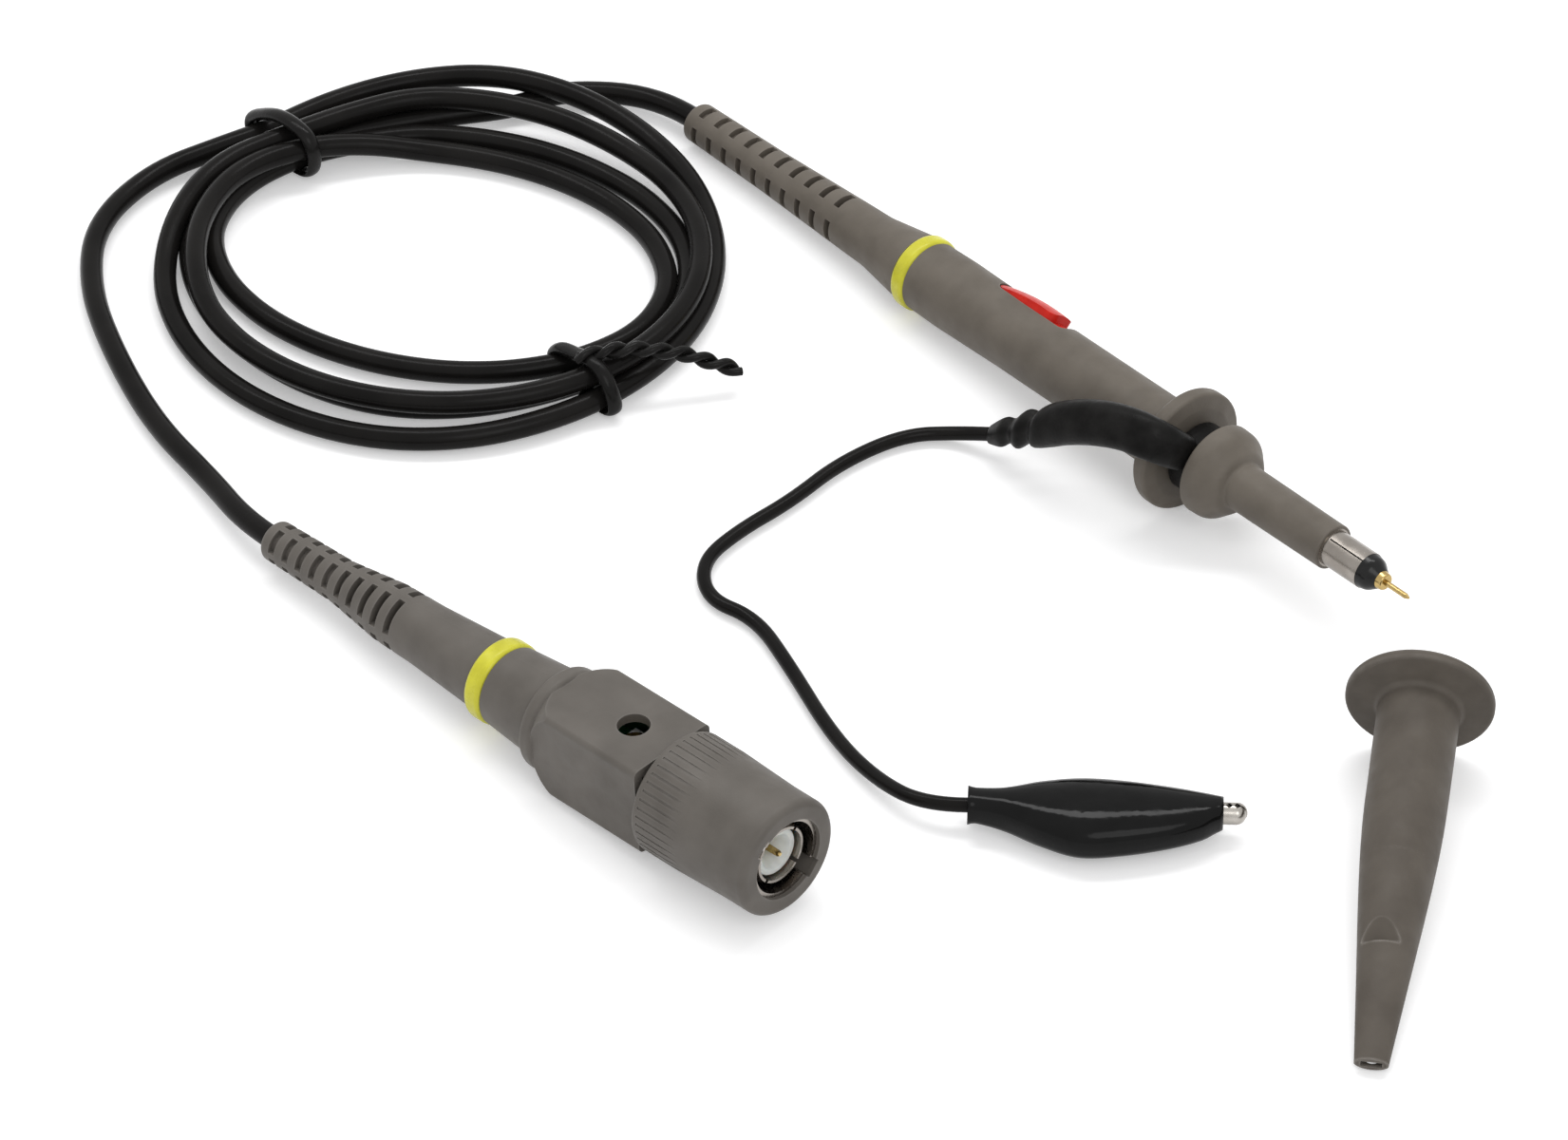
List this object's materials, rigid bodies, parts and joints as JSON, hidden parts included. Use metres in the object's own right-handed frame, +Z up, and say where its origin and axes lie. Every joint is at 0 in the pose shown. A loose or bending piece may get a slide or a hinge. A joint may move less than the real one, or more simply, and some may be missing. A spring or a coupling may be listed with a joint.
{
  "type": "passive oscilloscope probe set",
  "caption": "Passive oscilloscope probe with sliding attenuation switch, coiled coaxial cable, compensation box with bayonet plug, clip-on ground lead and sprung hook tip.",
  "frame": {"origin": "on the table, under the middle of the hard pieces (probe head, compensation box and hook tip)", "axes": "+X along the probe head towards its needle, +Z up, +Y to the left of the probe head, away from the compensation box"},
  "size_m": [0.2326, 0.1085, 0.0186],
  "materials": {
    "grip_plastic": "matte, fine texture",
    "box_plastic": "matte",
    "hook_plastic": "satin",
    "marker_yellow": "satin",
    "switch_red": "satin",
    "cable_black": "satin",
    "boot_black": "gloss",
    "tip_black": "gloss",
    "nickel": "satin nickel plate",
    "gold": "polished gold plate",
    "brass": "satin",
    "spring_steel": "bright",
    "board_green": "satin",
    "white_dielectric": "satin",
    "resistor_tan": "satin",
    "tin": "satin"
  },
  "bodies": {
    "probe_set": {"probe_strain_relief": "grip_plastic", "probe_marker_ring": "marker_yellow", "probe_barrel": "grip_plastic", "probe_cable_end": "cable_black", "probe_crimp_ferrule": "brass", "attenuator_board": "board_green", "tip_resistor": "resistor_tan", "ground_collar": "nickel", "nose_sleeve": "grip_plastic", "shield_tube": "nickel", "tip_insulator": "tip_black", "tip_needle": "gold", "box_strain_relief": "box_plastic", "box_marker_ring": "marker_yellow", "comp_box_cover": "box_plastic", "box_frame": "tin", "comp_board": "board_green", "trimmer_body": "white_dielectric", "box_cable_end": "cable_black", "box_crimp_ferrule": "brass", "bnc_body": "nickel", "bnc_dielectric": "white_dielectric", "bnc_centre_pin": "gold", "bnc_gasket": "switch_red", "spring_washer": "spring_steel", "retaining_ring": "spring_steel", "coax_coil": "cable_black", "tie_far": "boot_black", "tie_near": "boot_black", "coax_to_box": "cable_black", "coax_to_probe": "cable_black", "ground_lead": "cable_black", "clip_boot": "boot_black", "clip_crimp": "nickel", "clip_fixed_jaw": "nickel", "clip_rivet": "nickel", "clip_spring": "spring_steel"},
    "switch": {"switch_slider": "switch_red", "switch_contact": "brass"},
    "ground_clamp": {"ground_clamp_ring": "boot_black", "ground_clamp_boot": "boot_black"},
    "trimmer": {"trimmer_screw": "brass"},
    "coupling": {"bayonet_bush": "nickel", "bnc_collar": "box_plastic"},
    "clip_lever": {"clip_lever_jaw": "nickel"},
    "hook_tip": {"hook_sleeve": "hook_plastic", "hook_spring": "spring_steel"},
    "hook_plunger": {"hook_core": "hook_plastic", "hook_contact": "brass", "hook_wire": "spring_steel"}
  },
  "joints": [
    {"name": "switch_slide", "type": "slide", "parent": "probe_set", "child": "switch", "axis": [0.9984, 0, 0.0572], "range_m": [0, 0.0024]},
    {"name": "clamp_swivel", "type": "hinge", "parent": "probe_set", "child": "ground_clamp", "pos_m": [0.00543, 0.0455, 0.0086], "axis": [-0.9984, 0, -0.0572], "range_deg": [0, 60], "deforming": ["ground_lead"]},
    {"name": "trimmer_turn", "type": "hinge", "parent": "probe_set", "child": "trimmer", "pos_m": [0.00171, -0.04601, 0.00781], "axis": [-0.0612, -0.0055, 0.9981], "continuous": true},
    {"name": "coupling_turn", "type": "hinge", "parent": "probe_set", "child": "coupling", "pos_m": [0.01821, -0.04454, 0.00882], "axis": [0.9942, 0.0887, 0.0615], "continuous": true},
    {"name": "clip_lever_pivot", "type": "hinge", "parent": "probe_set", "child": "clip_lever", "pos_m": [0.0433, -0.00291, 0.00325], "axis": [0, 0, -1], "range_deg": [0, 20], "stiffness_Nm_per_rad": 0.05, "springref_deg": -17.19, "deforming": ["clip_boot", "clip_spring"]},
    {"name": "hook_tip_lift", "type": "slide", "parent": "probe_set", "child": "hook_tip", "axis": [0, 0, 1], "range_m": [0, 0.05]},
    {"name": "hook_plunger_slide", "type": "slide", "parent": "hook_tip", "child": "hook_plunger", "axis": [0.6424, -0.7521, -0.1474], "range_m": [0, 0.005], "stiffness_N_per_m": 200, "springref_m": -0.002, "deforming": ["hook_spring"]}
  ]
}
